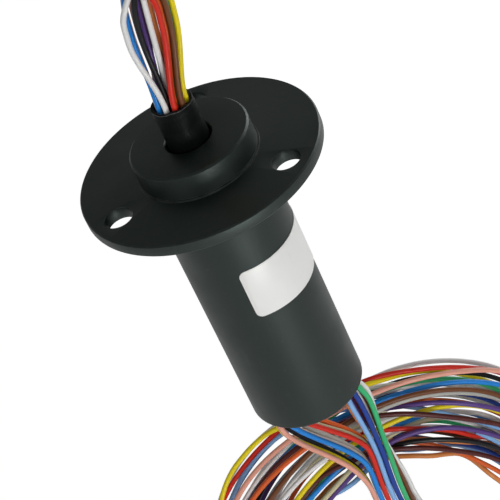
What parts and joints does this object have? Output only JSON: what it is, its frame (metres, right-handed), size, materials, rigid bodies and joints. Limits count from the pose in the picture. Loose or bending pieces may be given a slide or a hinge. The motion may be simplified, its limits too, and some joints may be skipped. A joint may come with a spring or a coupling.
{
  "type": "slip ring",
  "caption": "Capsule slip ring with a round mounting flange, a rotor that turns without limit and loose colour-coded leads at both ends.",
  "frame": {"origin": "centre of the flange's outer face, which is the centre of its hole circle", "axes": "+Z along the rotor's axis, out of the flange towards the rotor's leads; the housing and the fixed leads hang towards -Z"},
  "size_m": [0.09, 0.0446, 0.2547],
  "materials": {
    "housing_plastic": "fine matt moulded texture",
    "shrink_sleeve": "satin shrink tubing",
    "label_film": "matt film, blank",
    "sealing_resin": "cured resin",
    "core_resin": "moulded insulator",
    "gold_alloy": "gold plated",
    "bearing_steel": "ground steel",
    "cage_bronze": "bronze cage with steel balls",
    "tie_plastic": "nylon strap",
    "coil_leads": "bundle of insulated leads",
    "lead_black": "satin lead insulation",
    "lead_brown": "satin lead insulation",
    "lead_red": "satin lead insulation",
    "lead_orange": "satin lead insulation",
    "lead_yellow": "satin lead insulation",
    "lead_green": "satin lead insulation",
    "lead_azure": "satin lead insulation",
    "lead_purple": "satin lead insulation",
    "lead_grey": "satin lead insulation",
    "lead_white": "satin lead insulation",
    "lead_pink": "satin lead insulation",
    "lead_light_blue": "satin lead insulation",
    "lead_navy": "satin lead insulation",
    "lead_beige": "satin lead insulation",
    "lead_maroon": "satin lead insulation",
    "lead_vermilion": "satin lead insulation"
  },
  "bodies": {
    "stator": {"stator_housing": "housing_plastic", "end_cap": "housing_plastic", "outlet_resin": "sealing_resin", "label": "label_film", "brush_block_left": "core_resin", "brush_block_right": "core_resin", "brush_wires_left": "gold_alloy", "brush_wires_right": "gold_alloy", "front_bearing_outer": "bearing_steel", "rear_bearing_outer": "bearing_steel", "stator_coil": "coil_leads", "coil_tie": "tie_plastic", "stator_lead_01": "lead_black", "stator_lead_02": "lead_brown", "stator_lead_03": "lead_red", "stator_lead_04": "lead_orange", "stator_lead_05": "lead_yellow", "stator_lead_06": "lead_green", "stator_lead_07": "lead_azure", "stator_lead_08": "lead_purple", "stator_lead_09": "lead_grey", "stator_lead_10": "lead_white", "stator_lead_11": "lead_pink", "stator_lead_12": "lead_light_blue", "stator_lead_13": "lead_white", "stator_lead_14": "lead_navy", "stator_lead_15": "lead_beige", "stator_lead_16": "lead_maroon", "stator_lead_17": "lead_vermilion", "stator_lead_18": "lead_white"},
    "rotor": {"rotor_shaft": "bearing_steel", "ring_core": "core_resin", "contact_rings": "gold_alloy", "retaining_ring": "bearing_steel", "front_bearing_inner": "bearing_steel", "rear_bearing_inner": "bearing_steel", "lead_sleeve": "shrink_sleeve", "sleeve_resin": "sealing_resin", "rotor_hank": "coil_leads", "hank_tie": "tie_plastic", "rotor_lead_01": "lead_black", "rotor_lead_02": "lead_brown", "rotor_lead_03": "lead_red", "rotor_lead_04": "lead_orange", "rotor_lead_05": "lead_yellow", "rotor_lead_06": "lead_green", "rotor_lead_07": "lead_azure", "rotor_lead_08": "lead_purple", "rotor_lead_09": "lead_grey", "rotor_lead_10": "lead_white", "rotor_lead_11": "lead_pink", "rotor_lead_12": "lead_light_blue", "rotor_lead_13": "lead_white", "rotor_lead_14": "lead_navy", "rotor_lead_15": "lead_beige", "rotor_lead_16": "lead_maroon", "rotor_lead_17": "lead_vermilion", "rotor_lead_18": "lead_white"},
    "front_balls": {"front_ball_cage": "cage_bronze"},
    "rear_balls": {"rear_ball_cage": "cage_bronze"}
  },
  "joints": [
    {"name": "rotor_spin", "type": "hinge", "parent": "stator", "child": "rotor", "pos_m": [0, 0, 0], "axis": [0, 0, 1], "continuous": true},
    {"name": "front_cage_spin", "type": "hinge", "parent": "stator", "child": "front_balls", "pos_m": [0, 0, 0], "axis": [0, 0, 1], "continuous": true},
    {"name": "rear_cage_spin", "type": "hinge", "parent": "stator", "child": "rear_balls", "pos_m": [0, 0, -0.0516], "axis": [0, 0, 1], "continuous": true}
  ],
  "couplings": [
    {"joint": "front_cage_spin", "follows": "rotor_spin", "ratio": 0.3947},
    {"joint": "rear_cage_spin", "follows": "rotor_spin", "ratio": 0.4083}
  ]
}
